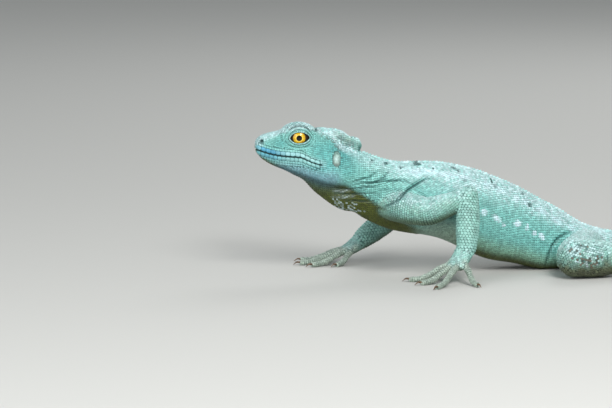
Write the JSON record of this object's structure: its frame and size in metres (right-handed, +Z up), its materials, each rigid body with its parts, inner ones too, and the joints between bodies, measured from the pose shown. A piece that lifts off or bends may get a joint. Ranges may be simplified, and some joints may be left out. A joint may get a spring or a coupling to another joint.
{
  "type": "green basilisk",
  "caption": "Adult female green basilisk lizard at life size, propped on its forelegs with the head raised and the long tail laid out behind; a still museum-type model.",
  "frame": {"origin": "on the floor, below the centre of the animal's overall box", "axes": "+Z up; the head points to -X and the tail to +X; the animal's left side faces -Y"},
  "size_m": [0.6154, 0.1702, 0.0763],
  "materials": {
    "head_skin": "scaly skin, satin",
    "body_skin": "scaly skin, satin",
    "tail_skin": "scaly skin, satin",
    "limb_skin": "scaly skin, satin",
    "throat_skin": "loose scaly skin",
    "eye": "wet and glossy",
    "claw_horn": "horn, semi-gloss"
  },
  "bodies": {
    "root": {"head": "head_skin", "lower_jaw": "head_skin", "head_crest": "head_skin", "throat": "throat_skin", "eye_left": "eye", "eye_right": "eye", "neck": "body_skin", "torso": "body_skin", "tail_base": "tail_skin", "tail_middle": "tail_skin", "tail_rear": "tail_skin", "tail_tip": "tail_skin", "upper_arm_left": "limb_skin", "forearm_left": "limb_skin", "hand_left": "limb_skin", "thigh_left": "limb_skin", "shin_left": "limb_skin", "foot_left": "limb_skin", "upper_arm_right": "limb_skin", "forearm_right": "limb_skin", "hand_right": "limb_skin", "thigh_right": "limb_skin", "shin_right": "limb_skin", "foot_right": "limb_skin", "finger_left_1_claw": "claw_horn", "finger_left_2_claw": "claw_horn", "finger_left_3_claw": "claw_horn", "finger_left_4_claw": "claw_horn", "finger_left_5_claw": "claw_horn", "finger_right_1_claw": "claw_horn", "finger_right_2_claw": "claw_horn", "finger_right_3_claw": "claw_horn", "finger_right_4_claw": "claw_horn", "finger_right_5_claw": "claw_horn", "toe_left_1_claw": "claw_horn", "toe_left_2_claw": "claw_horn", "toe_left_3_claw": "claw_horn", "toe_left_4_claw": "claw_horn", "toe_left_5_claw": "claw_horn", "toe_right_1_claw": "claw_horn", "toe_right_2_claw": "claw_horn", "toe_right_3_claw": "claw_horn", "toe_right_4_claw": "claw_horn", "toe_right_5_claw": "claw_horn"}
  },
  "joints": []
}
